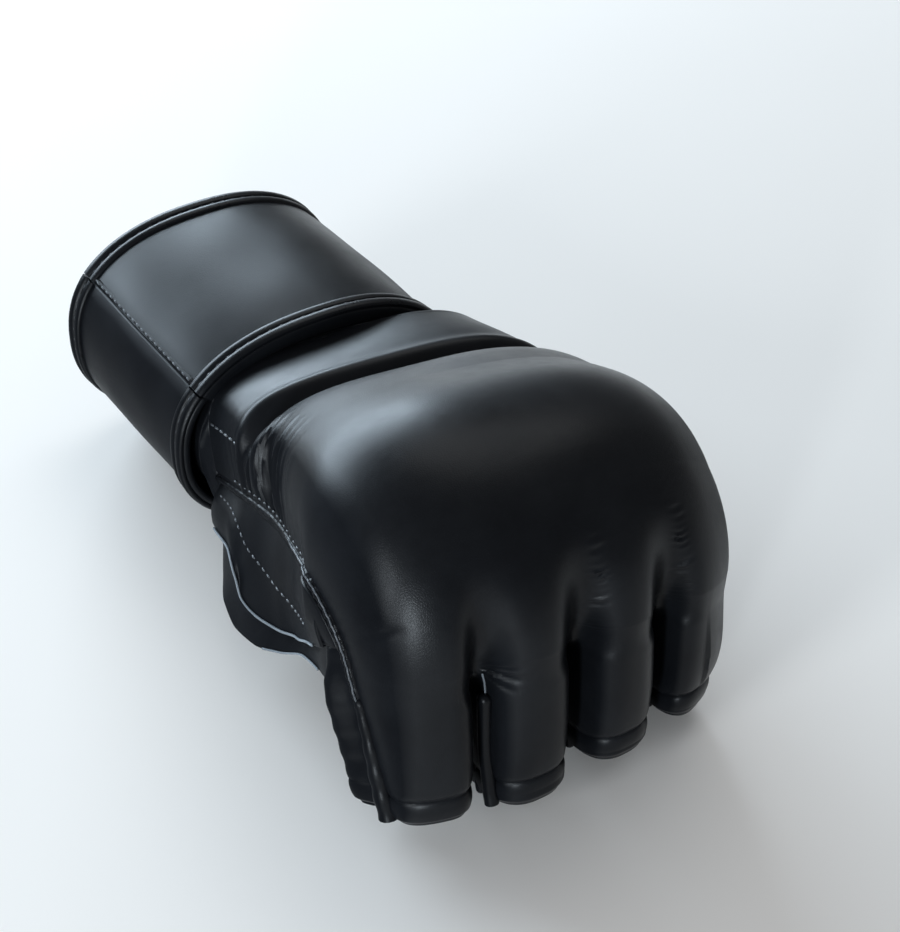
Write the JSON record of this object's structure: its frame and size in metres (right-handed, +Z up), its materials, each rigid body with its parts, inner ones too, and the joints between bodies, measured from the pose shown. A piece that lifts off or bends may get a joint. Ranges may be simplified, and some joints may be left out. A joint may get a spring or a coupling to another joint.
{
  "type": "mma glove",
  "caption": "Open-palm grappling glove for the left hand, curved to a fist, with a padded knuckle dome, fingerless sleeves, thumb and palm holes and a hook-and-loop wrist strap.",
  "frame": {"origin": "centre of the glove's box on the surface that it lies on, on its cuff and finger ends", "axes": "+X to the thumb side, +Y from the cuff to the knuckles, +Z up through the back of the hand"},
  "size_m": [0.1094, 0.1978, 0.0916],
  "materials": {
    "leather": "semi-gloss black leather with a fine grain",
    "binding": "rolled black leather edge",
    "foam": "closed-cell foam",
    "lining": "matt lining cloth",
    "patch": "hook-and-loop tape"
  },
  "bodies": {
    "glove": {"knuckle_shell": "leather", "knuckle_foam": "foam", "back_lining": "lining", "ridge_cover": "leather", "ridge_foam": "foam", "radial_welt": "binding", "ulnar_welt": "binding", "wrist_gusset": "leather", "palm_frame": "leather", "palm_panel": "leather", "grip_bar": "leather", "thumb_band": "leather", "thumb_flap": "leather", "thumb_flap_lining": "lining", "cuff_sleeve": "leather", "cuff_foam": "foam", "cuff_lining": "lining", "cuff_panel": "leather", "cuff_panel_pad": "foam", "cuff_binding_front": "binding", "cuff_binding_rear": "binding", "strap_anchor": "leather", "loop_patch": "patch"},
    "strap_side": {"strap_side": "leather", "strap_side_binding": "binding"},
    "strap_tip": {"strap_tip": "leather", "strap_tip_binding": "binding", "hook_patch": "patch"},
    "index_finger": {"index_pad": "leather", "index_foam": "foam", "index_loop": "leather", "index_welts": "binding", "index_hem": "leather"},
    "middle_finger": {"middle_pad": "leather", "middle_foam": "foam", "middle_loop": "leather", "middle_welts": "binding", "middle_hem": "leather"},
    "ring_finger": {"ring_pad": "leather", "ring_foam": "foam", "ring_loop": "leather", "ring_welts": "binding", "ring_hem": "leather"},
    "little_finger": {"little_pad": "leather", "little_foam": "foam", "little_loop": "leather", "little_welts": "binding", "little_hem": "leather"}
  },
  "joints": [
    {"name": "strap_swing", "type": "hinge", "parent": "glove", "child": "strap_side", "pos_m": [0.04373, -0.05834, 0.04922], "axis": [0.09, -0.9947, -0.0489], "range_deg": [0, 90]},
    {"name": "strap_peel", "type": "hinge", "parent": "strap_side", "child": "strap_tip", "pos_m": [0.03854, -0.05577, 0.01], "axis": [0.0938, -0.9938, -0.0593], "range_deg": [0, 100]},
    {"name": "index_flex", "type": "hinge", "parent": "glove", "child": "index_finger", "pos_m": [0.03367, 0.09443, 0.05143], "axis": [1, 0, 0], "range_deg": [0, 40], "stiffness_Nm_per_rad": 0.2},
    {"name": "middle_flex", "type": "hinge", "parent": "glove", "child": "middle_finger", "pos_m": [0.01066, 0.09706, 0.05105], "axis": [1, 0, 0], "range_deg": [0, 40], "stiffness_Nm_per_rad": 0.2},
    {"name": "ring_flex", "type": "hinge", "parent": "glove", "child": "ring_finger", "pos_m": [-0.01409, 0.09521, 0.04844], "axis": [1, 0, 0], "range_deg": [0, 40], "stiffness_Nm_per_rad": 0.2},
    {"name": "little_flex", "type": "hinge", "parent": "glove", "child": "little_finger", "pos_m": [-0.03708, 0.08935, 0.04417], "axis": [1, 0, 0], "range_deg": [0, 40], "stiffness_Nm_per_rad": 0.2}
  ]
}
